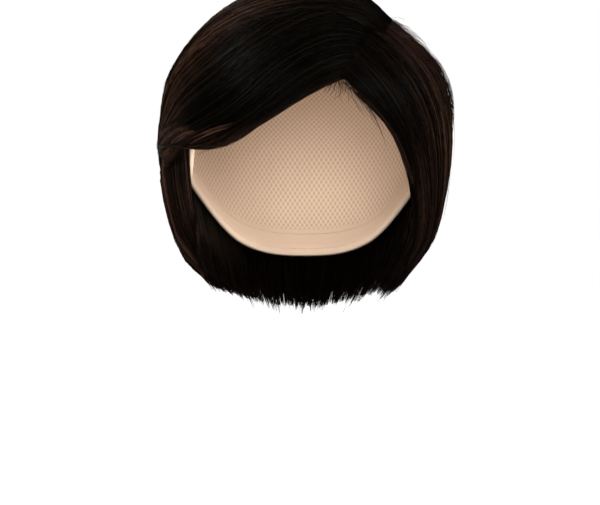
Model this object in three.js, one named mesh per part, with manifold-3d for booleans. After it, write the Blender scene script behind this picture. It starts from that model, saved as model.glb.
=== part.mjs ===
// A short side-parted wig: a net cap that carries five sections of hair.
// Each section is a thick shell of locks, rooted at the parting, at the crown or under
// the section above it, and tapering to staggered tips.
// Millimetres, +Z up. The face looks along -Y and +X is the wearer's left.
// The origin is the crown of the cap's inside, where the top of a head bears on it.
import * as THREE from "three";
import { mergeVertices } from "three/addons/utils/BufferGeometryUtils.js";
import Module from "manifold-3d";

const wasm = await Module();
wasm.setup();
const { degToRad, lerp, smoothstep } = THREE.MathUtils;

// The head that the cap fits
const HEAD_WIDTH = 150; // across the widest level
const HEAD_FRONT = 92; // from the middle of the head to the forehead
const HEAD_BACK = 98; // from the middle of the head to the back of the skull
const CROWN_RISE = 79; // from the widest level up to the crown
const NAPE_DROP = 118; // from the widest level down to where the skull's curve would close

// Walls and gaps
const CAP_WALL = 1.5;
const CAP_HEM = 2.6; // thickness of the folded hem round the cap's edge
const HEM_SHARE = 0.08; // the hem's share of the way from the crown to the cap's edge
const HAIR_GAP = 0.8; // from the cap to the hair's underside
const SECTION_GAP = 0.6; // between neighbouring sections of hair
const TIP_DEPTH = 1.4; // thickness of a lock where it ends
const SAME_POINT = 1e-3; // corners closer than this are one

// Locks
const STEPS_PER_LOCK = 4;
const GROOVE = 2.4; // depth of the valley between two locks
const TIP_NOTCH = 0.04; // how much shorter a lock is along its edges than along its middle
const TIP_STAGGER = 0.012; // how much shorter a lock is than the one before it in its set
const LOCKS_PER_SET = 3;
const HANG_FROM = 0.6; // where along a lock its underside starts to leave the head
const BOW_SKEW = 1.2; // the power of the way along a lock that puts the fullest bow past its middle

// Facets of the cap
const CAP_SIDES = 44;
const CAP_RINGS = 10;

// Directions from the middle of the head are given in degrees. Azimuth is 0 in front, 90 at the
// wearer's left and 180 behind. Polar is 0 at the crown and 90 at the widest level.

// The cap's edge, the same on both sides: the hairline, the tab before the ear, the ear and the nape.
const CAP_EDGE_COLUMNS = ["azimuth", "polar"];
const CAP_EDGE = [
  [0, 64],
  [28, 66],
  [52, 80],
  [70, 103],
  [88, 99],
  [112, 107],
  [140, 123],
  [180, 128],
];

// A row is a guide lock. full is the hair's depth over the cap along the lock's middle, hang is how far
// its tip stands off the head, and bow bends its route sideways, in degrees, to the left of its travel
// seen from outside. The rows of a section follow each other with the azimuth of their tips growing.
// Sections reach a little past each other's edges and are then cut back to meet there.
const LOCK_COLUMNS = ["rootAzimuth", "rootPolar", "tipAzimuth", "tipPolar", "bow", "full", "hang"];

const LEFT_SIDE = {
  rootDepth: 9,
  riseFrom: 0,
  riseTo: 0.33,
  taperFrom: 0.77,
  locks: 9,
  steps: 13,
  rows: [
    [16.5, 72, 70, 118, 2, 5, 1.5],
    [26, 60, 78, 130, 0, 11.5, 4],
    [42, 47, 93, 138, 0, 13, 5],
    [90, 33, 112, 141, 0, 13.5, 4],
    [150, 33, 137, 143, 0, 13.5, 4],
  ],
};

const BACK = {
  rootDepth: 6,
  riseFrom: 0.04,
  riseTo: 0.3,
  taperFrom: 0.7,
  locks: 8,
  steps: 12,
  rows: [
    [140, 22, 134, 143, 0, 13, 4],
    [158, 24, 158, 147, 0, 13.5, 4],
    [172, 25, 182, 149, 0, 13.5, 3],
    [190, 24, 206, 147, 0, 13.5, 4],
    [206, 22, 232, 143, 0, 13, 5],
  ],
};

const RIGHT_SIDE = {
  rootDepth: 6,
  riseFrom: 0.3,
  riseTo: 0.55,
  taperFrom: 0.8,
  locks: 7,
  steps: 11,
  rows: [
    [218, 106, 219, 143, 0, 10, 5],
    [246, 90, 246, 140, 0, 14, 5],
    [268, 74, 267, 135, 0, 14, 5.5],
    [288, 74, 284, 127, 0, 11.5, 4.5],
    [299, 80, 294, 117, 0, 5, 1.5],
  ],
};

const TOP = {
  rootDepth: 10.5,
  crownDip: 1.5, // how much flatter it lies in its middle than by the parting, at its tips and at its edges
  riseFrom: 0,
  riseTo: 0.12,
  taperFrom: 0.75,
  locks: 7,
  steps: 14,
  rows: [
    [174, 34.5, 229, 118, 0, 14, 10],
    [122, 34, 246, 108, 0, 14.5, 11],
    [80, 36.5, 258, 101, 0, 14.5, 11],
    [56, 43.5, 265, 97, 1, 14.5, 11],
    [41, 49.7, 270, 93, 2, 14.5, 11],
  ],
};

const FRINGE = {
  rootDepth: 7.5,
  riseFrom: 0,
  riseTo: 0.2,
  taperFrom: 0.7,
  locks: 5,
  steps: 14,
  rows: [
    [41, 49.7, 270, 93, 2, 14.5, 11],
    [29, 58.3, 277, 93.6, 7, 11.5, 11],
    [22, 66.2, 284, 93.8, 11, 8.5, 11],
    [17, 70, 289, 92, 14, 4.5, 10],
  ],
};

function direction(azimuth, polar) {
  const turn = degToRad(azimuth);
  const tilt = degToRad(polar);
  return new THREE.Vector3(
    Math.sin(tilt) * Math.sin(turn),
    -Math.sin(tilt) * Math.cos(turn),
    Math.cos(tilt),
  );
}

// The point at a height over the head, in a direction from the middle of the head.
function overHead(towards, height) {
  const half = new THREE.Vector3(
    HEAD_WIDTH / 2,
    towards.y < 0 ? HEAD_FRONT : HEAD_BACK,
    towards.z > 0 ? CROWN_RISE : NAPE_DROP,
  );
  const outwards = towards.clone().divide(half).normalize();
  const point = towards.clone().multiply(half).addScaledVector(outwards, height);
  point.z -= CROWN_RISE;
  return point;
}

// A smooth curve through a table's rows, read as an object with the columns' names.
function smoothTable(columns, rows, places, ending) {
  const curve = new THREE.CubicInterpolant(places, rows.flat(), columns.length);
  curve.settings = { endingStart: ending, endingEnd: ending };
  return (place) => {
    const values = curve.evaluate(place);
    return Object.fromEntries(columns.map((column, k) => [column, values[k]]));
  };
}

// The way that a lock takes over the head: an arc from root to tip, bent sideways by its bow.
function routeOf(lock) {
  const root = direction(lock.rootAzimuth, lock.rootPolar);
  const tip = direction(lock.tipAzimuth, lock.tipPolar);
  const sideways = root.clone().cross(tip).normalize();
  const angle = root.angleTo(tip);
  return (t) =>
    root
      .clone()
      .multiplyScalar(Math.sin((1 - t) * angle))
      .addScaledVector(tip, Math.sin(t * angle))
      .divideScalar(Math.sin(angle))
      .addScaledVector(sideways, Math.tan(degToRad(lock.bow)) * Math.sin(Math.PI * t ** BOW_SKEW))
      .normalize();
}

// A closed body between two grids of points, grid[across][along].
// With closes, the last column joins the first and the first point of every column is one pole.
function bodyBetween(inner, outer, closes) {
  const last = inner.length - 1;
  const end = inner[0].length - 1;
  const corners = [];
  const quad = (a, b, c, d) => corners.push(a, b, c, a, c, d);
  for (let i = 0; i < last; i++) {
    for (let j = 0; j < end; j++) {
      quad(outer[i][j], outer[i][j + 1], outer[i + 1][j + 1], outer[i + 1][j]);
      quad(inner[i][j], inner[i + 1][j], inner[i + 1][j + 1], inner[i][j + 1]);
    }
    quad(outer[i][end], inner[i][end], inner[i + 1][end], outer[i + 1][end]);
    if (!closes) quad(inner[i][0], outer[i][0], outer[i + 1][0], inner[i + 1][0]);
  }
  for (let j = 0; j < end && !closes; j++) {
    quad(outer[0][j], inner[0][j], inner[0][j + 1], outer[0][j + 1]);
    quad(inner[last][j], outer[last][j], outer[last][j + 1], inner[last][j + 1]);
  }
  return withoutSlivers(mergeVertices(new THREE.BufferGeometry().setFromPoints(corners), SAME_POINT));
}

// Drops the triangles that a pole leaves with two corners on one point.
function withoutSlivers(geometry) {
  const kept = [];
  const index = geometry.index.array;
  for (let k = 0; k < index.length; k += 3) {
    const [a, b, c] = index.slice(k, k + 3);
    if (a !== b && b !== c && c !== a) kept.push(a, b, c);
  }
  return geometry.setIndex(kept);
}

function capGeometry() {
  const edge = smoothTable(
    CAP_EDGE_COLUMNS,
    CAP_EDGE,
    CAP_EDGE.map(([azimuth]) => azimuth),
    THREE.ZeroSlopeEnding,
  );
  const inner = [];
  const outer = [];
  for (let i = 0; i <= CAP_SIDES; i++) {
    const azimuth = (360 * (i % CAP_SIDES)) / CAP_SIDES;
    const { polar } = edge(Math.min(azimuth, 360 - azimuth));
    const shares = Array.from({ length: CAP_RINGS }, (_, j) => (j / (CAP_RINGS - 1)) * (1 - HEM_SHARE));
    const towards = [...shares, 1].map((share) => direction(azimuth, share * polar));
    const hem = (j) => (j >= CAP_RINGS - 1 ? CAP_HEM - CAP_WALL : 0);
    inner.push(towards.map((way, j) => overHead(way, -hem(j))));
    outer.push(towards.map((way) => overHead(way, CAP_WALL)));
  }
  return bodyBetween(inner, outer, true);
}

// The hair's underside and outside over the cap, at u across the section and t along the lock there.
function depthsAt(section, lock, u, t, crest) {
  const risen = smoothstep(t, section.riseFrom, section.riseTo);
  const tapered = smoothstep(t, section.taperFrom, 1);
  const under = HAIR_GAP + lock.hang * smoothstep(t, HANG_FROM, 1);
  const dip = (section.crownDip ?? 0) * Math.sin(Math.PI * u) * Math.sin(Math.PI * t) ** 2;
  const body = lerp(section.rootDepth, lock.full, risen) - dip - GROOVE * risen * (1 - crest);
  const over = lerp(body, under + TIP_DEPTH, tapered);
  return { under, over: Math.max(over, under + TIP_DEPTH) };
}

function hairGeometry(section) {
  const places = section.rows.map((_, k) => k / (section.rows.length - 1));
  const lockAt = smoothTable(LOCK_COLUMNS, section.rows, places, THREE.ZeroCurvatureEnding);
  const across = section.locks * STEPS_PER_LOCK;
  const inner = [];
  const outer = [];
  for (let i = 0; i <= across; i++) {
    const u = i / across;
    const lock = lockAt(u);
    const route = routeOf(lock);
    const crest = Math.abs(Math.cos((Math.PI * i) / STEPS_PER_LOCK));
    const stagger = TIP_STAGGER * (Math.round(i / STEPS_PER_LOCK) % LOCKS_PER_SET);
    const reach = 1 - TIP_NOTCH * (1 - crest) - stagger * crest;
    const shares = Array.from({ length: section.steps + 1 }, (_, j) => (reach * j) / section.steps);
    const depths = shares.map((t) => depthsAt(section, lock, u, t / reach, crest));
    inner.push(shares.map((t, j) => overHead(route(t), CAP_WALL + depths[j].under)));
    outer.push(shares.map((t, j) => overHead(route(t), CAP_WALL + depths[j].over)));
  }
  return bodyBetween(inner, outer, false);
}

function solidOf(geometry) {
  return new wasm.Manifold(
    new wasm.Mesh({
      numProp: 3,
      vertProperties: geometry.getAttribute("position").array,
      triVerts: new Uint32Array(geometry.index.array),
    }),
  );
}

function geometryOf(solid) {
  const mesh = solid.getMesh();
  return new THREE.BufferGeometry()
    .setAttribute("position", new THREE.BufferAttribute(mesh.vertProperties, 3))
    .setIndex(new THREE.BufferAttribute(mesh.triVerts, 1));
}

// The same body with its surface moved outwards all over.
function grown(geometry, by) {
  const swollen = geometry.clone();
  swollen.computeVertexNormals();
  const place = swollen.getAttribute("position");
  const normal = swollen.getAttribute("normal");
  const moved = new THREE.Vector3();
  for (let k = 0; k < place.count; k++) {
    moved.fromBufferAttribute(normal, k).multiplyScalar(by);
    place.setXYZ(k, place.getX(k) + moved.x, place.getY(k) + moved.y, place.getZ(k) + moved.z);
  }
  return swollen;
}

// A section cut back to leave a gap round its neighbours, without the crumbs of the cut.
function clearOf(geometry, neighbours) {
  const cut = neighbours.reduce(
    (solid, neighbour) => solid.subtract(solidOf(grown(neighbour, SECTION_GAP))),
    solidOf(geometry),
  );
  const bodies = cut.decompose().sort((a, b) => b.volume() - a.volume());
  return geometryOf(bodies[0]);
}

const leftSide = hairGeometry(LEFT_SIDE);
const rightSide = hairGeometry(RIGHT_SIDE);
const top = clearOf(hairGeometry(TOP), [leftSide, rightSide]);
const fringe = clearOf(hairGeometry(FRINGE), [leftSide, rightSide, top]);
const back = clearOf(hairGeometry(BACK), [leftSide, rightSide, top]);

const netCloth = new THREE.MeshStandardMaterial({ color: 0xc7a587, roughness: 0.9, metalness: 0 });
const darkHair = new THREE.MeshStandardMaterial({ color: 0x1e1511, roughness: 0.45, metalness: 0 });

const wig = new THREE.Group();
function addPiece(name, geometry, material) {
  const piece = new THREE.Mesh(geometry, material);
  piece.name = name;
  wig.add(piece);
}

addPiece("cap", capGeometry(), netCloth);
addPiece("fringe", fringe, darkHair);
addPiece("top_hair", top, darkHair);
addPiece("left_side_hair", leftSide, darkHair);
addPiece("right_side_hair", rightSide, darkHair);
addPiece("back_hair", back, darkHair);

export default wig;
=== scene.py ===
"""A short side-parted wig, held up as a head would hold it: a net cap and near-black brown hair.

Every section of hair is a mass of locks, dark with painted shade, under thousands of strands. Both follow the
same guide locks as the solids that they dress. Metres, +Z up, face towards -Y, +X the wearer's left.
"""
from dataclasses import dataclass

import bpy
import numpy as np
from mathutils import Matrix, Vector


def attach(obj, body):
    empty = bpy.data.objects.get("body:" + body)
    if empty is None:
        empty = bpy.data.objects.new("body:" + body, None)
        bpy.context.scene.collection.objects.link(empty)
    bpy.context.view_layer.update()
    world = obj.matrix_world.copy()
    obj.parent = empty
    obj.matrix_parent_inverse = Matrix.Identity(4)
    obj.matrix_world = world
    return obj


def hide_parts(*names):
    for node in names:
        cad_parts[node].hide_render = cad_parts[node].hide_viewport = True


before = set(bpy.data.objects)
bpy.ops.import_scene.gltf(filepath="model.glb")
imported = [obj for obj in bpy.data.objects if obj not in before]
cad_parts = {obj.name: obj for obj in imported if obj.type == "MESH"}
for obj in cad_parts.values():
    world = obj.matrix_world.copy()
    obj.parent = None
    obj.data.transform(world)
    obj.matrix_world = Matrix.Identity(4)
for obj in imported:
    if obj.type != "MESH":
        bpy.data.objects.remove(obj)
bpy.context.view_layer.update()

# The head that the cap fits, as in the solids
HEAD_HALF_WIDTH = 0.075
HEAD_FRONT = 0.092
HEAD_BACK = 0.098
CROWN_RISE = 0.079
NAPE_DROP = 0.118

# Walls, gaps and locks, as in the solids
CAP_WALL = 0.0015
CAP_HEM = 0.0026
HEM_SHARE = 0.08  # the hem's share of the way from the crown to the cap's edge
HAIR_GAP = 0.0008
TIP_DEPTH = 0.0014
TIP_STAGGER = 0.012
LOCKS_PER_SET = 3
HANG_FROM = 0.6  # where along a lock its underside starts to leave the head
BOW_SKEW = 1.2  # the power that puts a lock's fullest bow past its middle

# The valleys between locks, shallower than in the solids because strands fill them
GROOVE = 0.0016
TIP_NOTCH = 0.015

# The cap's edge: azimuth from the front, polar angle from the crown, in degrees
CAP_EDGE = np.array([
    [0, 64],
    [28, 66],
    [52, 80],
    [70, 103],
    [88, 99],
    [112, 107],
    [140, 123],
    [180, 128],
])

# Guide locks: root azimuth, root polar, tip azimuth, tip polar and bow in degrees, full and hang in metres,
# where along the lock it starts to turn brown, and how brown its tip is. Besides the hair's own warmer
# lengths,
# the brown is partly painted light: browner tips and edges stand for light coming through thin hair, and the
# browner upper locks for light falling on them. The first three values are the groups of those columns that
# are read together.
ROUTE = slice(0, 5)
BODY = slice(5, 7)
COLOR = slice(7, 9)
LEFT_SIDE_LOCKS = [
    [16.5, 72, 70, 118, 2, 0.005, 0.0015, 0.5, 0.35],
    [26, 60, 78, 130, 0, 0.0115, 0.004, 0.3, 0.4],
    [42, 47, 93, 138, 0, 0.013, 0.005, -0.1, 0.55],
    [90, 33, 112, 141, 0, 0.0135, 0.004, -0.3, 0.85],
    [150, 33, 137, 143, 0, 0.0135, 0.004, -0.2, 0.55],
]
BACK_LOCKS = [
    [140, 22, 134, 143, 0, 0.013, 0.004, 0, 0.5],
    [158, 24, 158, 147, 0, 0.0135, 0.004, 0, 0.5],
    [172, 25, 182, 149, 0, 0.0135, 0.003, 0, 0.5],
    [190, 24, 206, 147, 0, 0.0135, 0.004, 0, 0.5],
    [206, 22, 232, 143, 0, 0.013, 0.005, 0, 0.5],
]
RIGHT_SIDE_LOCKS = [
    [218, 106, 219, 143, 0, 0.01, 0.005, -0.3, 0.5],
    [246, 90, 246, 140, 0, 0.014, 0.005, -0.3, 0.7],
    [268, 74, 267, 135, 0, 0.014, 0.0055, -0.3, 0.9],
    [288, 74, 284, 127, 0, 0.0115, 0.0045, -0.1, 0.6],
    [299, 80, 294, 117, 0, 0.005, 0.0015, 0.6, 0.1],
]
TOP_LOCKS = [
    [174, 34.5, 229, 118, 0, 0.014, 0.01, -0.3, 0.6],
    [122, 34, 246, 108, 0, 0.0145, 0.011, -0.3, 0.75],
    [80, 36.5, 258, 101, 0, 0.0145, 0.011, -0.1, 0.85],
    [56, 43.5, 265, 97, 1, 0.0145, 0.011, 0.05, 0.9],
    [41, 49.7, 270, 93, 2, 0.0145, 0.011, 0.3, 0.8],
]
FRINGE_LOCKS = [
    TOP_LOCKS[-1],
    [29, 58.3, 277, 93.6, 7, 0.0115, 0.011, 0.6, 0.8],
    [22, 66.2, 284, 93.8, 11, 0.0085, 0.011, 0.6, 0.9],
    [17, 70, 289, 92, 14, 0.0045, 0.01, 0.3, 1],
]

# Strands alone, over the seam behind the crown
CROWN_FAN_LOCKS = [
    [168, 33, 232, 122, 0, 0.0145, 0.01, 0.1, 0.7],
    [172, 31, 224, 131, 0, 0.0145, 0.008, 0, 0.6],
    [176, 28, 215, 139, 0, 0.0142, 0.006, 0, 0.6],
    [182, 25, 206, 145, 0, 0.0138, 0.005, 0, 0.6],
]

# Strands alone, where the fringe flicks out, and a painted copper highlight there, of lighter strands
FLICK_LOCKS = [
    [312, 84, 274, 91.5, 0, 0.0128, 0.0115, 0.15, 0.9],
    [318, 87, 279, 94.5, -0.5, 0.0126, 0.0115, 0.1, 1],
    [325, 88.5, 284, 97, -1.5, 0.0104, 0.0104, 0.05, 1],
    [328, 90, 289, 99.5, -2, 0.0092, 0.009, 0.05, 1],
]
GLINT_LOCKS = [
    [338, 86.8, 303, 93.1, 0, 0.0082, 0.005, 0, 1],
    [336, 88.4, 301, 94.7, 0, 0.008, 0.005, 0, 1],
]

# Strands alone, at the hairline, where the parting meets it and under the fringe
HAIRLINE_LOCKS = [
    [30, 83, 37, 96, 0, 0.004, 0.002, 0, 1],
    [26, 79, 33, 92, 0, 0.004, 0.002, 0, 1],
    [22, 74.5, 28, 88, 0, 0.004, 0.002, 0, 1],
    [18.5, 71, 22, 84, 0, 0.004, 0.002, 0, 1],
    [14, 71.5, 9, 80, 0, 0.004, 0.002, 0, 1],
]
APEX_LOCKS = [
    [24, 76, 28, 83, 0, 0.005, 0.002, 0, 0.6],
    [19.5, 70.5, 22, 79, 0, 0.005, 0.002, 0, 0.6],
    [16, 69.5, 15.5, 77, 0, 0.005, 0.002, 0, 0.6],
    [11, 71, 8, 77, 0, 0.005, 0.002, 0, 0.6],
    [4, 73, -1, 78, 0, 0.005, 0.002, 0, 0.6],
]
WISP_LOCKS = [
    [-2, 77, -18, 84, 2, 0.004, 0.003, 0, 1],
    [-14, 81, -30, 89, 2, 0.006, 0.004, 0, 1],
    [-24, 85, -40, 94, 2, 0.008, 0.005, 0, 1],
    [-34, 88, -50, 97, 2, 0.009, 0.005, 0, 1],
]
BROWN_SPAN = 0.45  # the share of a lock over which it turns brown
PAST_TIP = 0.015  # how fast strands that run on past a section's tips leave the head

# Masses
BED = 0.0013  # how far a mass lies under the outermost strands
MASS_REACH = 0.985
MASS_COLUMNS_PER_RIDGE = 20
MASS_STEPS = 22
FINE_RIDGE = 0.0004
FINE_RIDGES_PER_RIDGE = 5
RIDGE_WANDER = 0.3  # how far a fine ridge strays, as a share of its width
WANDER_TURNS = 3  # how often that changes across a section
THINNEST_MASS = 0.0004
MASS_RISE = 0.06  # the share of a lock over which its mass comes to its full thickness
MASS_TAPER = 0.75  # where along a lock its mass starts to thin
ROOT_KEPT = 0.7  # the shares of its thickness that a mass keeps at its roots, tips and free edges
TIP_KEPT = 0.15
EDGE_KEPT = 0.1
EDGE_SHARE = 0.1  # the share of a section over which its mass thins to a free edge
EDGE_INSET = 0.05  # how far a mass stays behind a free edge, as a share of its section
TIP_RAGGED = 0.025  # how unevenly the tips of a mass end
RAGGED_FROM = 0.6  # where along a lock that starts
MASS_SHADE_TONE = 0.3  # painted shade: how light and how brown a mass is beside its strands, darker so that the gaps between strands read as shade
MASS_SHADE_BROWN = 0.3

# Tubes of strands
STRAND_RADIUS = 0.0002
FLYAWAY_RADIUS = 0.0001
RADIUS_SPREAD = (0.7, 1.25)
STRAND_SIDES = 3
ROOT_THINNESS = 0.6  # the shares of its radius that a strand has at its root and tip
TIP_THINNESS = 0.4
FULL_FROM = 0.1  # where along a strand it has its full radius
FULL_TO = 0.75
RING_CROWDING = 0.5  # how much closer together the rings are near a strand's ends

# Tones of strands, from 0, darkest, to 1, lightest
LIGHTEST = 0.999
MIDDLE_TONE = 0.45
CLUMP_CONTRAST = 1.9
CLUMP_WEIGHT = 0.72  # how much of a strand's tone is its clump's
LIGHT_SHARE = 0.06  # the share of strands that are lighter than their clump, and by how much
LIGHT_STEP = 0.3
CLUMPS_PER_BAND = 4  # clumps of like tone beside each other
BAND_WEIGHT = 0.2
EDGE_BROWN = 0.6  # how much browner the strands of a free edge are, where light comes through

# The strands' map, with a column for each step of tone
TONES = 64
COLUMN_MARGIN = 0.1  # the share of a column left free on each side
MAP_SPREAD = 0.03  # the height on that map that a strand of one colour takes
END_HEIGHT = 0.98  # the height of a strand's closed ends there, as a share of the wall's beside them

# Strands of an outside. Lengths along a lock and places across a section are shares of them.
NARROW_CLUMP = 0.3  # the narrowest clump, and how much wider clumps are on average
CLUMP_SPREAD = 0.7
LATEST_BEGIN = 0.45
CLUMP_UNEVEN = 0.01
STRAND_UNEVEN = 0.013
SHORT_SHARE = 0.25  # the share of strands that end early
SHORTEST = 0.8
WAVES = (0.0005, 0.004)
WAVE_TURNS = 1.1
WAVE_RISE = 0.3
DRIFT = 0.004
GATHER_FROM = 0.3
SLANT_SPAN = 0.6  # the share of a lock over which slanting strands cross their section
CLUMP_RELIEF = 0.0006  # how much higher a clump's middle is than its edges
STRAND_SINK = 0.0005
CLUMP_SINK = 0.0009
RIPPLE = 0.0002
RIPPLE_TURNS = 1.7
ROOT_DEPTHS = (0.5, 0.95)  # where in the hair's thickness strands are rooted

# Strands of a free edge
EDGING_BEGINS = (-0.01, 0.25)
EDGING_ENDS = (0.85, 1.02)
EDGING_SINK = 0.0003

# Strands of an underside
UNDERSIDE_SHORT = 0.02
UNDERSIDE_DRIFT = 0.01
UNDERSIDE_HALF = 0.5  # the inner share of the hair's thickness that they take
UNDERSIDE_TONE = 0.5

# Flyaways
FLYAWAY_DRIFT = 0.03
FLYAWAY_ARCHES = (0.35, 0.85)  # shares of a whole arch
HIGHEST_FLYAWAY = 3  # times the mean height
FLYAWAY_SINK = 0.0008
FLYAWAY_RISE = 0.15
FLYAWAY_TONE = 0.5  # the darkest
ANYWHERE = {"span": (0, 1), "begins": (0, 0.35), "lengths": (0.25, 0.6)}
BY_THE_PARTING = {"span": (0.3, 0.85), "begins": (0, 0.14), "lengths": (0.05, 0.14)}

# The halo
HALO_HEIGHT = 0.005
HALO_SHARES = (0.15, 1)  # the lowest and highest hairs, as shares of that
HALO_BEGINS = (0.04, 0.14)
HALO_ENDS = (0.44, 0.54)
HALO_DRIFT = 0.015
HALO_SINK = 0.0006
HALO_SKEW = 1.3  # the power that puts its fullest bow past its middle
HALO_TONE = 0.3  # the darkest, and the step to the lightest
HALO_TONES = 0.4

# Short loose hairs
LOOSE_LENGTHS = (0.35, 1.05)
LOOSE_DRIFT = 0.06
LOOSE_DEPTHS = (0.2, 1)

# The cap's net, hem and stitches
CAP_SIDES = 120
CAP_RINGS = 32
NET_RADIUS = 0.09
NET_CELL = 0.0019
NET_THREAD = 0.0006
THREAD_CORE = 0.4  # the share of a thread that is at its full height
HEM_FULL = 0.7  # the share of the hem's height that has its full thickness
HEM_CLOTH = 0.9  # the share of the hem's height that is all cloth
STITCHES = 170
STITCH_RADIUS = 0.0003
STITCH_RINGS = 4
STITCH_LENGTH = 0.64  # as a share of the way from one stitch to the next
STITCH_ARCH = 0.6  # the height of a stitch's middle, as a share of its radius
STITCH_ROWS = (0.75, 0.2)  # shares of the hem's height over the cap's edge

# Colours of the darkest, the middle and the lightest hair, and where among the tones the middle one is
BLACK_HAIR = [(0.0003, 0.0002, 0.0001), (0.0008, 0.0006, 0.0003), (0.0045, 0.003, 0.002)]
BROWN_HAIR = [(0.0006, 0.0003, 0.0002), (0.009, 0.0042, 0.0025), (0.044, 0.021, 0.0135)]
MIDDLE_STOP = 0.6

# Colours of the cap
NET_HOLES = (0.64, 0.46, 0.33)
NET_THREADS = (0.87, 0.68, 0.51)
DARK_CLOTH = (0.62, 0.43, 0.3)
LIGHT_CLOTH = (0.9, 0.7, 0.53)
DARK_STITCH = (0.6, 0.42, 0.3)
LIGHT_STITCH = (0.85, 0.68, 0.5)

# The photograph's frame and view
PHOTO_WIDTH = 600
FOCAL_PIXELS = 2121
CAMERA_PLACE = (-0.003, -1.3, -0.15)
SENSOR_WIDTH = 36

# The studio: each lamp's name, place, size and power
LAMPS = [
    ("key", (-1.3, -0.9, 0.9), 1.0, 60),
    ("fill", (1.3, -1.1, 0.3), 1.0, 40),
    ("back", (-0.5, 1.0, 1.0), 0.8, 40),
    ("front", (0, -2.2, -0.1), 1.2, 45),
]
LAMP_TARGET = (0, 0, -0.08)
SURROUND_STRENGTH = 0.6
FLOOR_HEIGHT = -0.4
FLOOR_HALF = 12
WHITE = (1, 1, 1, 1)

# Seeds of the random draws; the masses' are 0 and on
STITCH_SEED = 10
FIRST_STRAND_SEED = 11


def smoothstep(value, start, end):
    share = np.clip((value - start) / (end - start), 0, 1)
    return share * share * (3 - 2 * share)


def mix(start, end, share):
    return start + (end - start) * share


def unit(vectors):
    return vectors / np.linalg.norm(vectors, axis=-1, keepdims=True)


def direction(azimuth, polar):
    """Unit vectors from the middle of the head, from angles in degrees."""
    turn, tilt = np.radians(azimuth), np.radians(polar)
    return np.stack([np.sin(tilt) * np.sin(turn), -np.sin(tilt) * np.cos(turn), np.cos(tilt)], axis=-1)


def over_head(way, height):
    """Points at a height over the head in directions from its middle, and the head's normals there."""
    half = np.empty_like(way)
    half[..., 0] = HEAD_HALF_WIDTH
    half[..., 1] = np.where(way[..., 1] < 0, HEAD_FRONT, HEAD_BACK)
    half[..., 2] = np.where(way[..., 2] > 0, CROWN_RISE, NAPE_DROP)
    outwards = unit(way / half)
    points = way * half + outwards * np.asarray(height)[..., None]
    points[..., 2] -= CROWN_RISE
    return points, outwards


def smooth_rows(rows, place):
    """A smooth curve through evenly placed rows, read at places from 0 to 1 or just past them."""
    padded = np.vstack([2 * rows[0] - rows[1], rows, 2 * rows[-1] - rows[-2]])
    span = place * (len(rows) - 1)
    first = np.clip(np.floor(span).astype(int), 0, len(rows) - 2)
    p = (span - first)[..., None]
    a, b, c, d = (padded[first + k] for k in range(4))
    return b + 0.5 * p * (c - a + p * (2 * a - 5 * b + 4 * c - d + p * (3 * (b - c) + d - a)))


def cap_edge(azimuth):
    """The polar angle of the cap's edge, with the slope at each row the mean of those beside it."""
    knots, values = CAP_EDGE[:, 0], CAP_EDGE[:, 1]
    slopes = np.diff(values) / np.diff(knots)
    tangents = np.concatenate([[0], (slopes[1:] + slopes[:-1]) / 2, [0]])
    from_front = np.minimum(azimuth % 360, 360 - azimuth % 360)
    first = np.clip(np.searchsorted(knots, from_front, side="right") - 1, 0, len(slopes) - 1)
    width = knots[first + 1] - knots[first]
    p = (from_front - knots[first]) / width
    ease = p * p * (3 - 2 * p)
    start, end = tangents[first] * width, tangents[first + 1] * width
    return mix(values[first], values[first + 1], ease) + p * (1 - p) * ((1 - p) * start - p * end)


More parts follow.
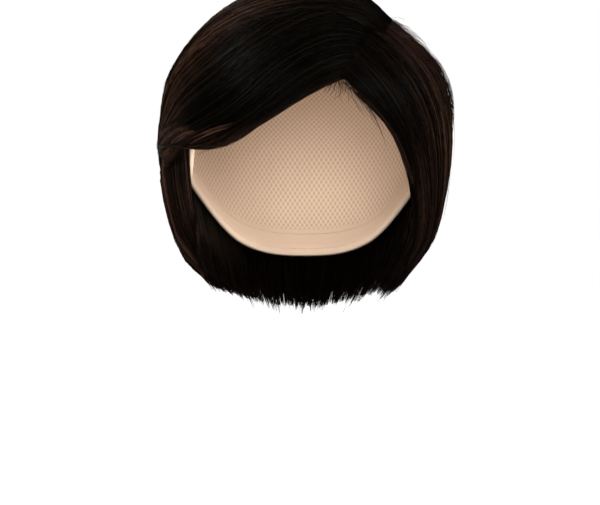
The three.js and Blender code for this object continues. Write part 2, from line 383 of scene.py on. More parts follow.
@dataclass
class Section:
    """Hair between guide locks. Places in it are u, across the locks, and t, from root to tip."""

    name: str
    locks: list
    root_depth: float  # how far its outside lies over the cap at its roots
    rise: tuple  # the span of t over which it comes to its full depth
    taper: float  # where it starts to thin to its tips
    ridges: int  # how many locks lie side by side
    free_start: bool = False  # whether it has a free edge at its first lock
    free_end: bool = False  # whether it has one at its last lock
    dip: float = 0  # how much flatter it lies in its middle

    def guide(self, u):
        return np.moveaxis(smooth_rows(np.array(self.locks, float), u), -1, 0)

    def crest(self, u):
        """1 along the middle of a lock, 0 in the valley between two."""
        return np.abs(np.cos(np.pi * u * self.ridges))

    def reach(self, u):
        """Where along its guide a lock ends."""
        crest = self.crest(u)
        stagger = TIP_STAGGER * (np.round(u * self.ridges) % LOCKS_PER_SET)
        return 1 - TIP_NOTCH * (1 - crest) - stagger * crest

    def depths(self, u, t):
        """How far the hair's underside and outside lie over the cap."""
        full, hang = self.guide(u)[BODY]
        risen = smoothstep(t, *self.rise)
        under = HAIR_GAP + hang * smoothstep(t, HANG_FROM, 1)
        dip = self.dip * np.sin(np.pi * u) * np.sin(np.pi * t) ** 2
        body = mix(self.root_depth, full, risen) - dip - GROOVE * risen * (1 - self.crest(u))
        over = mix(body, under + TIP_DEPTH, smoothstep(t, self.taper, 1))
        return under, np.maximum(over, under + TIP_DEPTH) + PAST_TIP * np.maximum(t - 1, 0)

    def brown(self, u, t):
        """How brown the hair is, partly painted light falling on and coming through it: 0 near black, 1 red
        brown.
        """
        start, most = self.guide(u)[COLOR]
        return np.clip(most, 0, 1) * smoothstep(t, start, start + BROWN_SPAN)

    def place(self, u, t, depth):
        """Points at a depth over the cap, and the head's normals there."""
        root_azimuth, root_polar, tip_azimuth, tip_polar, bow = self.guide(u)[ROUTE]
        root, tip = direction(root_azimuth, root_polar), direction(tip_azimuth, tip_polar)
        sideways = unit(np.cross(root, tip))
        angle = np.arccos(np.sum(root * tip, axis=-1))
        from_root, from_tip = np.sin((1 - t) * angle), np.sin(t * angle)
        bend = np.tan(np.radians(bow)) * np.sin(np.pi * np.maximum(t, 0) ** BOW_SKEW) * np.sin(angle)
        way = root * from_root[..., None] + tip * from_tip[..., None] + sideways * bend[..., None]
        return over_head(unit(way), CAP_WALL + depth)


def small_section(name, locks):
    """A section of short loose hairs."""
    return Section(name, locks, root_depth=0.001, rise=(0, 0.4), taper=0.9, ridges=1)


LEFT_SIDE = Section(
    "left_side_hair", LEFT_SIDE_LOCKS, root_depth=0.009, rise=(0, 0.33), taper=0.77, ridges=9,
    free_start=True)
BACK = Section("back_hair", BACK_LOCKS, root_depth=0.006, rise=(0, 0.18), taper=0.7, ridges=8)
RIGHT_SIDE = Section(
    "right_side_hair", RIGHT_SIDE_LOCKS, root_depth=0.006, rise=(0.26, 0.48), taper=0.8, ridges=7,
    free_end=True)
TOP = Section("top_hair", TOP_LOCKS, root_depth=0.0105, rise=(0, 0.12), taper=0.75, ridges=7, dip=0.0015)
FRINGE = Section("fringe", FRINGE_LOCKS, root_depth=0.0075, rise=(0, 0.2), taper=0.7, ridges=5, free_end=True)
CROWN_FAN = Section("crown_fan", CROWN_FAN_LOCKS, root_depth=0.009, rise=(0, 0.15), taper=0.75, ridges=4)
FLICK = Section("flick", FLICK_LOCKS, root_depth=0.0065, rise=(0, 0.5), taper=0.93, ridges=3)
GLINT = Section("glint", GLINT_LOCKS, root_depth=0.0055, rise=(0, 0.3), taper=0.8, ridges=1)
HAIRLINE = small_section("hairline", HAIRLINE_LOCKS)
APEX = small_section("apex", APEX_LOCKS)
WISPS = small_section("wisps", WISP_LOCKS)


def add_mesh(name, points, triangles, material, numbers, bake_map=None):
    """A smooth mesh piece. numbers holds a value for each point under each attribute's name."""
    mesh = bpy.data.meshes.new(name)
    mesh.vertices.add(len(points))
    mesh.vertices.foreach_set("co", points.astype(np.float32).ravel())
    mesh.loops.add(triangles.size)
    mesh.loops.foreach_set("vertex_index", triangles.astype(np.int32).ravel())
    mesh.polygons.add(len(triangles))
    mesh.polygons.foreach_set("loop_start", np.arange(0, triangles.size, 3, dtype=np.int32))
    for label, values in numbers.items():
        made = mesh.attributes.new(label, "FLOAT", "POINT")
        made.data.foreach_set("value", values.astype(np.float32).ravel())
    mesh.update(calc_edges=True)
    mesh.shade_smooth()
    if bake_map is not None:
        mesh.uv_layers.new(name="OFBake").data.foreach_set("uv", bake_map.astype(np.float32).ravel())
    mesh.materials.append(material)
    piece = bpy.data.objects.new(name, mesh)
    bpy.context.scene.collection.objects.link(piece)
    return piece


def quads(a, b, c, d):
    """The triangles of quads whose corners are arrays of point numbers."""
    a, b, c, d = (np.ravel(x) for x in (a, b, c, d))
    return np.concatenate([np.stack([a, b, c], 1), np.stack([a, c, d], 1)])


def shell_faces(across, along):
    """The triangles of a closed body between an outer and an inner grid of points."""
    outer = np.arange(across * along).reshape(across, along)
    inner = outer + across * along
    parts = [
        quads(outer[:-1, :-1], outer[:-1, 1:], outer[1:, 1:], outer[1:, :-1]),
        quads(inner[:-1, :-1], inner[1:, :-1], inner[1:, 1:], inner[:-1, 1:]),
        quads(outer[:-1, -1], inner[:-1, -1], inner[1:, -1], outer[1:, -1]),
        quads(inner[:-1, 0], outer[:-1, 0], outer[1:, 0], inner[1:, 0]),
        quads(outer[0, :-1], inner[0, :-1], inner[0, 1:], outer[0, 1:]),
        quads(inner[-1, :-1], outer[-1, :-1], outer[-1, 1:], inner[-1, 1:]),
    ]
    return np.concatenate(parts)


def mass_thickness(section, u, share):
    """The share of its thickness that a mass keeps: it thins to its roots, its tips and its free edges."""
    kept = mix(ROOT_KEPT, 1, smoothstep(share, 0, MASS_RISE))
    kept = kept * mix(1, TIP_KEPT, smoothstep(share, MASS_TAPER, 1))
    if section.free_start:
        kept = kept * mix(EDGE_KEPT, 1, smoothstep(u, 0, EDGE_SHARE))
    if section.free_end:
        kept = kept * mix(EDGE_KEPT, 1, smoothstep(1 - u, 0, EDGE_SHARE))
    return kept


def add_mass(section, material, rng):
    """The body of a section's locks, dark with painted shade, a little under its outermost strands."""
    across = section.ridges * MASS_COLUMNS_PER_RIDGE + 1
    first = EDGE_INSET if section.free_start else 0
    last = 1 - EDGE_INSET if section.free_end else 1
    u = np.repeat(np.linspace(first, last, across)[:, None], MASS_STEPS + 1, axis=1)
    share = np.repeat(np.linspace(0, 1, MASS_STEPS + 1)[None, :], across, axis=0)
    under, over = section.depths(u, share * MASS_REACH)
    wander = RIDGE_WANDER * np.sin(2 * np.pi * (share + WANDER_TURNS * u))
    fine = np.sin(np.pi * (u * section.ridges * FINE_RIDGES_PER_RIDGE + wander))
    thickness = np.maximum(over - BED - FINE_RIDGE * fine * fine - under, THINNEST_MASS)
    ragged = 1 - TIP_RAGGED * rng.random((across, 1)) * smoothstep(share, RAGGED_FROM, 1)
    t = share * section.reach(u) * MASS_REACH * ragged
    outer, _ = section.place(u, t, under + thickness * mass_thickness(section, u, share))
    inner, _ = section.place(u, t, under)
    points = np.concatenate([outer.reshape(-1, 3), inner.reshape(-1, 3)])
    stripes = np.repeat(rng.random(across)[:, None], MASS_STEPS + 1, axis=1)
    # painted shade: the mass's tone and brown are cut down to darken the gaps between strands
    numbers = {
        "tone": np.tile((MASS_SHADE_TONE * stripes).ravel(), 2),
        "brown": np.tile(MASS_SHADE_BROWN * section.brown(u, t).ravel(), 2),
    }
    piece = add_mesh(section.name + "_mass", points, shell_faces(across, MASS_STEPS + 1), material, numbers)
    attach(piece, "root")
    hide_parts(section.name)


@dataclass
class Strands:
    """Strands of one kind: a row for each strand and a column for each ring of its tube."""

    paths: np.ndarray
    outwards: np.ndarray
    radius: np.ndarray
    tone: np.ndarray
    brown: np.ndarray

    def tubes(self):
        """The points of closed tapering tubes, and their triangles."""
        count, rings, _ = self.paths.shape
        tangent = unit(np.gradient(self.paths, axis=1))
        sideways = unit(np.cross(tangent, self.outwards))
        up = np.cross(sideways, tangent)
        turns = 2 * np.pi * (np.arange(STRAND_SIDES) / STRAND_SIDES)[:, None]
        spokes = np.cos(turns) * up[:, :, None] + np.sin(turns) * sideways[:, :, None]
        points = self.paths[:, :, None] + self.radius[:, :, None, None] * spokes
        number = np.arange(count * rings * STRAND_SIDES).reshape(count, rings, STRAND_SIDES)
        beside = np.roll(number, -1, axis=2)
        walls = quads(number[:, :-1], beside[:, :-1], beside[:, 1:], number[:, 1:])
        starts = number[:, 0, ::-1]
        ends = number[:, -1]
        return points.reshape(-1, 3), np.concatenate([walls, starts, ends])

    def bake_map(self):
        """The place of every corner on a map with a column for each step of tone and brown hair on top."""
        column = (np.floor(self.tone * TONES) + COLUMN_MARGIN) / TONES
        side = np.arange(STRAND_SIDES)
        width = (1 - 2 * COLUMN_MARGIN) / TONES / STRAND_SIDES
        left = column[:, None, None] + width * side
        share = np.linspace(0, 1, self.brown.shape[1])
        high = mix(MAP_SPREAD * share, 1, (1 - MAP_SPREAD) * self.brown)[:, :, None]
        grid = np.broadcast_arrays(left, high)
        a = np.stack([grid[0][:, :-1], grid[1][:, :-1]], -1).reshape(-1, 2)
        d = np.stack([grid[0][:, 1:], grid[1][:, 1:]], -1).reshape(-1, 2)
        b, c = a + [width, 0], d + [width, 0]
        walls = np.concatenate([np.stack([a, b, c], 1), np.stack([a, c, d], 1)])
        corners = np.array([[0, 0], [width, 0], [0, width]])
        start = np.stack([column, END_HEIGHT * high[:, 0, 0]], -1)[:, None] + corners
        end = np.stack([column, END_HEIGHT * high[:, -1, 0]], -1)[:, None] + corners
        return np.concatenate([walls, start, end])


def add_strands(name, kinds, material):
    """One piece of joined strands."""
    points, triangles, maps, tones, browns = [], [], [], [], []
    first = 0
    for kind in kinds:
        made, faces = kind.tubes()
        points.append(made)
        triangles.append(faces + first)
        first += len(made)
        maps.append(kind.bake_map())
        tone = (np.floor(kind.tone * TONES) + 0.5) / TONES
        per_strand = kind.brown.shape[1] * STRAND_SIDES
        tones.append(np.repeat(tone, per_strand))
        browns.append(np.repeat(kind.brown.ravel(), STRAND_SIDES))
    numbers = {"tone": np.concatenate(tones), "brown": np.concatenate(browns)}
    joined = [np.concatenate(x) for x in (points, triangles, maps)]
    piece = add_mesh(name, joined[0], joined[1], material, numbers, joined[2])
    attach(piece, "root")


def spread(count, span, rng):
    """Places over a span, evenly strewn."""
    return mix(span[0], span[1], (np.arange(count) + rng.random(count)) / count)


def steps(count, rings):
    """Shares of the way along a strand, closer together near its ends."""
    even = np.linspace(0, 1, rings)
    return np.repeat(mix(even, (1 - np.cos(np.pi * even)) / 2, RING_CROWDING)[None, :], count, axis=0)


def strand_radius(share, rng, thick=STRAND_RADIUS):
    """A strand's radius along its length: full in the middle, thinner at the root and fine at the tip."""
    own = rng.uniform(*RADIUS_SPREAD, (len(share), 1))
    by_root = mix(ROOT_THINNESS, 1, smoothstep(share, 0, FULL_FROM))
    by_tip = mix(1, TIP_THINNESS, smoothstep(share, FULL_TO, 1))
    return thick * own * by_root * by_tip


def tone_of(clump_tone, rng):
    """Tones of strands: near alike in a clump, with a few lighter strands."""
    own = rng.random(len(clump_tone))
    light = LIGHT_STEP * (rng.random(len(clump_tone)) < LIGHT_SHARE)
    spread_out = CLUMP_CONTRAST * (clump_tone - 0.5) + MIDDLE_TONE
    return np.clip(CLUMP_WEIGHT * spread_out + (1 - CLUMP_WEIGHT) * own + light, 0, LIGHTEST)


@dataclass
class Clumps:
    """Clumps of uneven width, side by side across a section, and the strands in them."""

    count: int
    start: np.ndarray  # where each strand starts across the section
    number: np.ndarray  # the number, the middle and the width of each strand's clump
    middle: np.ndarray
    width: np.ndarray

    def tones(self, rng):
        """A tone for every clump, with bands of darker and lighter clumps."""
        bands = rng.random(self.count // CLUMPS_PER_BAND + 2)
        band = np.interp(np.arange(self.count) / CLUMPS_PER_BAND, np.arange(len(bands)), bands)
        return BAND_WEIGHT * band + (1 - BAND_WEIGHT) * rng.random(self.count)


def strew(count, clumps, rng):
    """Strands strewn across a section, in clumps."""
    start = spread(count, (0, 1), rng)
    widths = NARROW_CLUMP + rng.exponential(CLUMP_SPREAD, clumps)
    edges = np.concatenate([[0], np.cumsum(widths)]) / np.sum(widths)
    number = np.clip(np.searchsorted(edges, start) - 1, 0, clumps - 1)
    first, last = edges[number], edges[number + 1]
    return Clumps(clumps, start, number, (first + last) / 2, last - first)


@dataclass
class Combing:
    """How the strands of a section's outside lie."""

    lift: float = 0  # how far they stand off the section's outside
    rooted: float = 0.6  # the share of strands that start at the roots
    lap: float = 0.03  # how far those start past the roots, as a share of a lock
    rise: float = 0.06  # the share of a lock over which a strand comes up from its root
    gathers: tuple = (0.3, 0.8)  # how far clumps draw together towards their tips
    lighter: float = 0  # a step of tone for all strands
    contrast: float = 1  # how far the tones of clumps lie apart
    run_on: float = 0  # how far strands run on past the tips, as a share of a lock
    slant: float = 0  # how far strands cross the section towards its last lock, as a share of its width


def combed_ends(section, clumps, combing, rng):
    """Where along their locks the strands of an outside begin and end."""
    count = len(clumps.start)
    rooted = rng.random(count) < combing.rooted
    begin = np.where(rooted, -combing.lap * rng.random(count), rng.uniform(0, LATEST_BEGIN, count))
    clump_length = 1 + rng.normal(0, CLUMP_UNEVEN, clumps.count)[clumps.number]
    own_length = 1 + rng.normal(0, STRAND_UNEVEN, count)
    end = section.reach(clumps.middle) * clump_length * own_length
    end = np.where(rng.random(count) < SHORT_SHARE, end * rng.uniform(SHORTEST, 1, count), end)
    return begin[:, None], (end + combing.run_on * rng.random(count))[:, None]


def cover(section, rng, count, rings, clumps, combing):
    """The strands of a section's outside, combed into clumps."""
    clumps = strew(count, clumps, rng)
    start, middle = clumps.start[:, None], clumps.middle[:, None]
    gather = rng.uniform(*combing.gathers, clumps.count)[clumps.number]
    share = steps(count, rings)
    begin, end = combed_ends(section, clumps, combing, rng)
    t = mix(begin, end, share)
    turn = rng.random((count, 1))
    wave = rng.uniform(*WAVES, (count, 1)) * np.sin(2 * np.pi * (WAVE_TURNS * share + turn))
    drift = rng.normal(0, DRIFT, (count, 1)) * share
    pull = gather[:, None] * smoothstep(t, GATHER_FROM, 1)
    u = mix(start, middle, pull) + (wave + drift) * smoothstep(share, 0, WAVE_RISE)
    if combing.slant:
        u = np.clip((1 + combing.slant) * u - combing.slant * (1 - smoothstep(t, 0, SLANT_SPAN)), 0, 1)
    under, over = section.depths(u, t)
    within = (start - middle) / clumps.width[:, None]
    relief = CLUMP_RELIEF * (1 - 4 * within * within)
    own_sink = rng.exponential(STRAND_SINK, (count, 1))
    sink = own_sink + CLUMP_SINK * rng.random(clumps.count)[clumps.number][:, None]
    ripple = RIPPLE * np.sin(2 * np.pi * (RIPPLE_TURNS * share + turn))
    outside = over + combing.lift + relief - sink + ripple
    root = mix(under, over, rng.uniform(*ROOT_DEPTHS, (count, 1)))
    depth = mix(root, outside, smoothstep(t - begin, 0, combing.rise))
    paths, outwards = section.place(u, t, np.maximum(depth, under))
    clump_tone = mix(0.5, clumps.tones(rng), combing.contrast)
    tone = np.clip(tone_of(clump_tone[clumps.number], rng) + combing.lighter, 0, LIGHTEST)
    return Strands(paths, outwards, strand_radius(share, rng), tone, section.brown(u, t))


def edging(section, rng, count, rings, span, spill):
    """Strands through the whole thickness of a free edge, some of them a little past it."""
    start = spread(count, span, rng) + rng.normal(0, spill, count)
    share = steps(count, rings)
    begin = rng.uniform(*EDGING_BEGINS, count)
    end = section.reach(start) * rng.uniform(*EDGING_ENDS, count)
    t = mix(begin[:, None], end[:, None], share)
    sway = rng.normal(0, spill, (count, 1)) * np.sin(np.pi * share)
    u = start[:, None] + sway
    under, over = section.depths(u, t)
    depth = mix(under, over, rng.random((count, 1))) - EDGING_SINK * rng.random((count, 1))
    paths, outwards = section.place(u, t, depth)
    tone = tone_of(rng.random(count), rng)
    brown = mix(section.brown(u, t), 1, EDGE_BROWN)
    return Strands(paths, outwards, strand_radius(share, rng), tone, brown)


def underside(section, rng, count, rings, begins):
    """Strands of a section's inner half, towards its tips."""
    start = spread(count, (0, 1), rng)
    share = steps(count, rings)
    begin = rng.uniform(*begins, count)
    end = 1 - rng.exponential(UNDERSIDE_SHORT, count)
    t = mix(begin[:, None], end[:, None], share)
    u = np.clip(start[:, None] + rng.normal(0, UNDERSIDE_DRIFT, (count, 1)) * share, 0, 1)
    under, over = section.depths(u, t)
    depth = mix(under, over, UNDERSIDE_HALF * rng.random((count, 1)) ** 2)
    paths, outwards = section.place(u, t, depth)
    tone = tone_of(UNDERSIDE_TONE * rng.random(count), rng)
    return Strands(paths, outwards, strand_radius(share, rng), tone, section.brown(u, t))


def flyaways(section, rng, count, rings, lift, span, begins, lengths):
    """Single fine hairs that stand off a section's outside."""
    start = spread(count, span, rng)
    share = steps(count, rings)
    begin = rng.uniform(*begins, count)
    end = begin + rng.uniform(*lengths, count)
    t = mix(begin[:, None], end[:, None], share)
    drift = rng.normal(0, FLYAWAY_DRIFT, (count, 1)) * share
    u = np.clip(start[:, None] + drift, 0, 1)
    _, over = section.depths(u, t)
    height = np.minimum(rng.exponential(lift, (count, 1)), HIGHEST_FLYAWAY * lift)
    arch = np.sin(np.pi * share * rng.uniform(*FLYAWAY_ARCHES, (count, 1)))
    depth = over - FLYAWAY_SINK * (1 - smoothstep(share, 0, FLYAWAY_RISE)) + height * arch
    paths, outwards = section.place(u, t, depth)
    tone = tone_of(mix(FLYAWAY_TONE, 1, rng.random(count)), rng)
    radius = strand_radius(share, rng, FLYAWAY_RADIUS)
    return Strands(paths, outwards, radius, tone, section.brown(u, t))


def halo(section, rng, count, rings, span):
    """A thin sheet of long hairs that bows away from a section's outside and comes back to it."""
    start = spread(count, span, rng)
    share = steps(count, rings)
    begin = rng.uniform(*HALO_BEGINS, count)
    end = rng.uniform(*HALO_ENDS, count)
    t = mix(begin[:, None], end[:, None], share)
    u = start[:, None] + rng.normal(0, HALO_DRIFT, (count, 1)) * share
    _, over = section.depths(u, t)
    height = HALO_HEIGHT * rng.uniform(*HALO_SHARES, (count, 1))
    depth = over - HALO_SINK + height * np.sin(np.pi * share ** HALO_SKEW)
    paths, outwards = section.place(u, t, depth)
    tone = tone_of(HALO_TONE + HALO_TONES * rng.random(count), rng)
    radius = strand_radius(share, rng, FLYAWAY_RADIUS)
    return Strands(paths, outwards, radius, tone, section.brown(u, t))


def loose(section, rng, count, rings):
    """Fine short hairs of uneven length that follow a section's guide locks."""
    start = spread(count, (0, 1), rng)
    share = steps(count, rings)
    length = rng.uniform(*LOOSE_LENGTHS, count)
    t = share * length[:, None]
    drift = rng.normal(0, LOOSE_DRIFT, (count, 1)) * share * share
    u = np.clip(start[:, None] + drift, 0, 1)
    under, over = section.depths(u, t)
    depth = mix(under, over, rng.uniform(*LOOSE_DEPTHS, (count, 1)))
    paths, outwards = section.place(u, t, depth)
    tone = tone_of(rng.random(count), rng)
    radius = strand_radius(share, rng, FLYAWAY_RADIUS)
    return Strands(paths, outwards, radius, tone, section.brown(u, t))


def left_side_strands(rng):
    combing = Combing(lap=0.05, gathers=(0.1, 0.5), contrast=0.85)
    return [
        cover(LEFT_SIDE, rng, count=2050, rings=14, clumps=220, combing=combing),
        edging(LEFT_SIDE, rng, count=210, rings=12, span=(0, 0.08), spill=0.01),
        underside(LEFT_SIDE, rng, count=480, rings=6, begins=(0.5, 0.85)),
    ]


def back_strands(rng):
    combing = Combing(gathers=(0.1, 0.4), contrast=0.7)
    return [
        cover(BACK, rng, count=1850, rings=13, clumps=150, combing=combing),
        underside(BACK, rng, count=900, rings=6, begins=(0.66, 0.9)),
    ]


def right_side_strands(rng):
    combing = Combing(gathers=(0.1, 0.5), lighter=0.05, contrast=0.85)
    return [
        cover(RIGHT_SIDE, rng, count=1350, rings=11, clumps=100, combing=combing),
        edging(RIGHT_SIDE, rng, count=150, rings=10, span=(0.91, 1), spill=0.008),
        underside(RIGHT_SIDE, rng, count=480, rings=6, begins=(0.2, 0.8)),
    ]


def top_strands(rng):
    # partly painted light: the top's strands are a step lighter, standing for light falling on the top
    combing = Combing(lap=0.015, lighter=0.08, contrast=0.65, run_on=0.08, slant=0.05)
    return [cover(TOP, rng, count=2150, rings=14, clumps=170, combing=combing)]


def fringe_strands(rng):
    """The fringe, its flick and a painted copper highlight."""
    combing = Combing(gathers=(0.2, 0.7), lighter=-0.06, contrast=0.75, slant=0.35)
    flick = Combing(lift=0.0003, rooted=0.3, rise=0.5, gathers=(0.1, 0.4), lighter=0.2, contrast=0.6)
    # painted highlight: the glint's strands are lighter and turn fully brown early
    glint = Combing(lift=0.0003, rooted=0.3, rise=0.4, gathers=(0, 0.2), lighter=0.45, contrast=0.5)
    return [
        cover(FRINGE, rng, count=1700, rings=14, clumps=130, combing=combing),
        edging(FRINGE, rng, count=260, rings=13, span=(0.9, 1), spill=0.02),
        underside(FRINGE, rng, count=120, rings=8, begins=(0.3, 0.7)),
        cover(FLICK, rng, count=420, rings=10, clumps=60, combing=flick),
        cover(GLINT, rng, count=70, rings=9, clumps=12, combing=glint),
    ]


def crown_fan_strands(rng):
    combing = Combing(lift=0.0004, rooted=0.45, lap=0.05, rise=0.25, gathers=(0.1, 0.5), contrast=0.8)
    return [cover(CROWN_FAN, rng, count=420, rings=13, clumps=40, combing=combing)]


def stray_strands(rng):
    return [
        halo(LEFT_SIDE, rng, count=220, rings=14, span=(0.55, 0.86)),
        flyaways(LEFT_SIDE, rng, count=230, rings=6, lift=0.0019, **BY_THE_PARTING),
        flyaways(LEFT_SIDE, rng, count=60, rings=10, lift=0.0008, **ANYWHERE),
        flyaways(BACK, rng, count=50, rings=10, lift=0.0008, **ANYWHERE),
        flyaways(RIGHT_SIDE, rng, count=25, rings=8, lift=0.0005, **ANYWHERE),
        flyaways(TOP, rng, count=60, rings=10, lift=0.0006, **ANYWHERE),
        flyaways(FRINGE, rng, count=20, rings=10, lift=0.0006, **ANYWHERE),
    ]


def hairline_strands(rng):
    return [
        loose(HAIRLINE, rng, count=34, rings=7),
        loose(APEX, rng, count=110, rings=5),
        loose(WISPS, rng, count=20, rings=8),
    ]


STRAND_PIECES = {
    "left_side_strands": left_side_strands,
    "back_strands": back_strands,
    "right_side_strands": right_side_strands,
    "top_strands": top_strands,
    "fringe_strands": fringe_strands,
    "crown_fan_strands": crown_fan_strands,
    "flyaways": stray_strands,
    "hairline_strands": hairline_strands,
}


def new_material(name):
    """A material, its node tree and its shader."""
    material = bpy.data.materials.new(name)
    material.use_nodes = True
    tree = material.node_tree
    return material, tree, tree.nodes["Principled BSDF"]


def link(tree, source, target):
    tree.links.new(source, target)


def attribute(tree, name):
    node = tree.nodes.new("ShaderNodeAttribute")
    node.attribute_name = name
    return node.outputs["Fac"]


def noise(tree, scale):
    node = tree.nodes.new("ShaderNodeTexNoise")
    node.inputs["Scale"].default_value = scale
    return node.outputs["Fac"]


def math(tree, operation, first, second):
    """A sum on two numbers, each an output of another node or a plain value."""
    node = tree.nodes.new("ShaderNodeMath")
    node.operation = operation
    for socket, value in zip(node.inputs, (first, second)):
        if isinstance(value, bpy.types.NodeSocket):
            link(tree, value, socket)
        else:
            socket.default_value = value
    return node.outputs["Value"]


def share_of(tree, value, start, end):
    """0 at the start of a span and 1 at its end."""
    node = tree.nodes.new("ShaderNodeMapRange")
    node.inputs["From Min"].default_value = start
    node.inputs["From Max"].default_value = end
    link(tree, value, node.inputs["Value"])
    return node.outputs["Result"]


def mix_colors(tree, factor, first, second):
    """A mix of two colours, each an output of another node or a plain colour."""
    node = tree.nodes.new("ShaderNodeMix")
    node.data_type = "RGBA"
    link(tree, factor, node.inputs["Factor"])
    for name, value in (("A", first), ("B", second)):
        if isinstance(value, bpy.types.NodeSocket):
            link(tree, value, node.inputs[name])
        else:
            node.inputs[name].default_value = (*value, 1)
    return node.outputs["Result"]


def tone_ramp(tree, tone, colors):
    """A ramp of colours over the tone, with the middle colour past the middle, so that light hair is rare."""
    ramp = tree.nodes.new("ShaderNodeValToRGB")
    stops = ramp.color_ramp.elements
    stops[0].color = (*colors[0], 1)
    stops[1].color = (*colors[2], 1)
    middle = stops.new(MIDDLE_STOP)
    middle.color = (*colors[1], 1)
    link(tree, tone, ramp.inputs["Fac"])
    return ramp.outputs["Color"]


def hair_material():
    """Near-black hair that turns red brown, partly as painted light, with its own tone on every strand."""
    material, tree, shader = new_material("hair")
    tone, brown = attribute(tree, "tone"), attribute(tree, "brown")
    color = mix_colors(tree, brown, tone_ramp(tree, tone, BLACK_HAIR), tone_ramp(tree, tone, BROWN_HAIR))
    link(tree, color, shader.inputs["Base Color"])
    shader.inputs["Roughness"].default_value = 0.35
    shader.inputs["Specular IOR Level"].default_value = 0.014
    return material


def cap_material():
    """Skin-toned net of crossing threads, and a plain woven hem."""
    material, tree, shader = new_material("cap_net")
    across, down, edge = (attribute(tree, name) for name in ("across", "down", "edge"))
    one_way = math(tree, "PINGPONG", math(tree, "ADD", across, down), NET_CELL)
    other_way = math(tree, "PINGPONG", math(tree, "SUBTRACT", across, down), NET_CELL)
    thread = share_of(tree, math(tree, "MINIMUM", one_way, other_way), NET_THREAD, THREAD_CORE * NET_THREAD)
    hem = share_of(tree, edge, 1 - HEM_SHARE, 1 - HEM_CLOTH * HEM_SHARE)
    cloth = mix_colors(tree, noise(tree, 900), DARK_CLOTH, LIGHT_CLOTH)
    net = mix_colors(tree, thread, NET_HOLES, NET_THREADS)
    color = mix_colors(tree, hem, net, cloth)
    bump = tree.nodes.new("ShaderNodeBump")
    bump.inputs["Strength"].default_value = 0.5
    bump.inputs["Distance"].default_value = 0.0003
    link(tree, math(tree, "MAXIMUM", thread, hem), bump.inputs["Height"])
    link(tree, color, shader.inputs["Base Color"])
    link(tree, bump.outputs["Normal"], shader.inputs["Normal"])
    shader.inputs["Roughness"].default_value = 0.85
    shader.inputs["Specular IOR Level"].default_value = 0.2
    return material


def thread_material():
    """Pale sewing thread, a little uneven."""
    material, tree, shader = new_material("thread")
    color = mix_colors(tree, noise(tree, 1500), DARK_STITCH, LIGHT_STITCH)
    link(tree, color, shader.inputs["Base Color"])
    shader.inputs["Roughness"].default_value = 0.7
    return material


def floor_material():
    """A white floor that glows a little, so that it hardly shows."""
    material, _, shader = new_material("floor")
    shader.inputs["Base Color"].default_value = (0.9, 0.9, 0.9, 1)
    shader.inputs["Roughness"].default_value = 0.9
    shader.inputs["Specular IOR Level"].default_value = 0
    shader.inputs["Emission Color"].default_value = WHITE
    shader.inputs["Emission Strength"].default_value = 0.7
    return material


def laid_flat(way):
    """Places on the cap's cloth, spread out from the back of the head, in metres."""
    radius = NET_RADIUS * np.sqrt(2 / (1 + way[:, 1]))
    return radius * way[:, 0], radius * way[:, 2]


def add_cap(material):
    """The net cap with its folded hem, as a closed wall."""
    azimuth = 360 * np.arange(CAP_SIDES) / CAP_SIDES
    share = np.linspace(0, 1, CAP_RINGS + 1)[1:]
    polar = cap_edge(azimuth)[:, None] * share[None, :]
    way = direction(np.repeat(azimuth[:, None], CAP_RINGS, axis=1), polar)
    hem = (CAP_HEM - CAP_WALL) * smoothstep(share, 1 - HEM_SHARE, 1 - HEM_FULL * HEM_SHARE)
    outer, _ = over_head(way, np.full(polar.shape, CAP_WALL))
    inner, _ = over_head(way, np.repeat(-hem[None, :], CAP_SIDES, axis=0))
    crowns = np.array([[0, 0, CAP_WALL], [0, 0, 0]])
    points = np.concatenate([outer.reshape(-1, 3), inner.reshape(-1, 3), crowns])
    out = np.arange(CAP_SIDES * CAP_RINGS).reshape(CAP_SIDES, CAP_RINGS)
    into = out + out.size
    out_next, into_next = np.roll(out, -1, axis=0), np.roll(into, -1, axis=0)
    top, bottom = np.full(CAP_SIDES, 2 * out.size), np.full(CAP_SIDES, 2 * out.size + 1)
    triangles = np.concatenate([
        quads(out[:, :-1], out[:, 1:], out_next[:, 1:], out_next[:, :-1]),
        quads(into[:, :-1], into_next[:, :-1], into_next[:, 1:], into[:, 1:]),
        quads(out[:, -1], into[:, -1], into_next[:, -1], out_next[:, -1]),
        np.stack([top, out[:, 0], out_next[:, 0]], 1),
        np.stack([bottom, into_next[:, 0], into[:, 0]], 1),
    ])
    ways = np.concatenate([way.reshape(-1, 3), way.reshape(-1, 3), [[0, 0, 1], [0, 0, 1]]])
    across, down = laid_flat(ways)
    edge = np.concatenate([np.tile(share, 2 * CAP_SIDES), [0, 0]])
    numbers = {"across": across, "down": down, "edge": edge}
    piece = add_mesh("cap_net", points, triangles, material, numbers)
    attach(piece, "root")
    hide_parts("cap")


def hem_stitches(share, rng):
    """A row of stitches on the inside of the cap's hem, at a share of the way to its edge."""
    middle = 360 * np.arange(STITCHES)[:, None] / STITCHES
    azimuth = middle + np.linspace(-STITCH_LENGTH / 2, STITCH_LENGTH / 2, STITCH_RINGS) * 360 / STITCHES
    way = direction(azimuth, share * cap_edge(azimuth))
    arch = np.sin(np.linspace(0, np.pi, STITCH_RINGS)) * STITCH_ARCH * STITCH_RADIUS
    height = CAP_WALL - CAP_HEM - np.repeat(arch[None, :], STITCHES, axis=0)
    paths, outwards = over_head(way, height)
    radius = np.full((STITCHES, STITCH_RINGS), STITCH_RADIUS)
    up_the_map = np.repeat(np.linspace(0, 1, STITCH_RINGS)[None, :], STITCHES, axis=0)
    return Strands(paths, outwards, radius, rng.random(STITCHES), up_the_map)


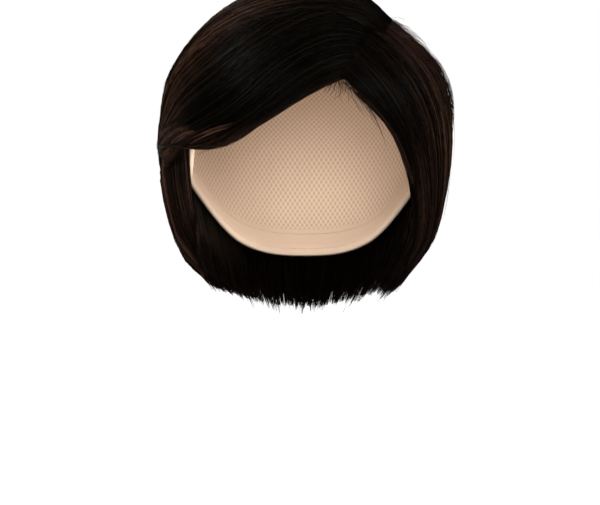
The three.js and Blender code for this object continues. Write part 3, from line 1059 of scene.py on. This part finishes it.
def add_floor():
    half = FLOOR_HALF
    corners = np.array([[-half, -half, 0], [half, -half, 0], [half, half, 0], [-half, half, 0]], float)
    corners[:, 2] = FLOOR_HEIGHT
    triangles = np.array([[0, 1, 2], [0, 2, 3]])
    floor = add_mesh("floor", corners, triangles, floor_material(), {})
    floor.visible_diffuse = False
    floor.visible_glossy = False


def add_lamp(name, place, size, power):
    lamp = bpy.data.lights.new(name, "AREA")
    lamp.shape = "DISK"
    lamp.size = size
    lamp.energy = power
    stand = bpy.data.objects.new(name, lamp)
    stand.location = place
    stand.rotation_euler = (Vector(LAMP_TARGET) - Vector(place)).to_track_quat("-Z", "Y").to_euler()
    bpy.context.scene.collection.objects.link(stand)


def set_world():
    """A white background over a dimmer surround that lights the scene."""
    world = bpy.data.worlds.new("studio")
    bpy.context.scene.world = world
    world.use_nodes = True
    tree = world.node_tree
    surround = tree.nodes["Background"]
    surround.inputs["Color"].default_value = WHITE
    surround.inputs["Strength"].default_value = SURROUND_STRENGTH
    seen = tree.nodes.new("ShaderNodeBackground")
    seen.inputs["Color"].default_value = WHITE
    ray = tree.nodes.new("ShaderNodeLightPath")
    either = tree.nodes.new("ShaderNodeMixShader")
    link(tree, ray.outputs["Is Camera Ray"], either.inputs["Fac"])
    link(tree, surround.outputs["Background"], either.inputs[1])
    link(tree, seen.outputs["Background"], either.inputs[2])
    link(tree, either.outputs["Shader"], tree.nodes["World Output"].inputs["Surface"])


def add_camera():
    lens = bpy.data.cameras.new("camera")
    lens.sensor_fit = "HORIZONTAL"
    lens.sensor_width = SENSOR_WIDTH
    lens.lens = SENSOR_WIDTH * FOCAL_PIXELS / PHOTO_WIDTH
    camera = bpy.data.objects.new("camera", lens)
    camera.location = CAMERA_PLACE
    camera.rotation_euler = (np.pi / 2, 0, 0)
    bpy.context.scene.collection.objects.link(camera)
    bpy.context.scene.camera = camera


bpy.context.scene.view_settings.view_transform = "Standard"
add_camera()
set_world()
for lamp in LAMPS:
    add_lamp(*lamp)
add_floor()

hair = hair_material()
add_cap(cap_material())
stitch_rng = np.random.default_rng(STITCH_SEED)
stitch_rows = [hem_stitches(1 - row * HEM_SHARE, stitch_rng) for row in STITCH_ROWS]
add_strands("hem_stitches", stitch_rows, thread_material())
for seed, section in enumerate((LEFT_SIDE, BACK, RIGHT_SIDE, TOP, FRINGE)):
    add_mass(section, hair, np.random.default_rng(seed))
for seed, (name, kinds) in enumerate(STRAND_PIECES.items(), FIRST_STRAND_SEED):
    add_strands(name, kinds(np.random.default_rng(seed)), hair)
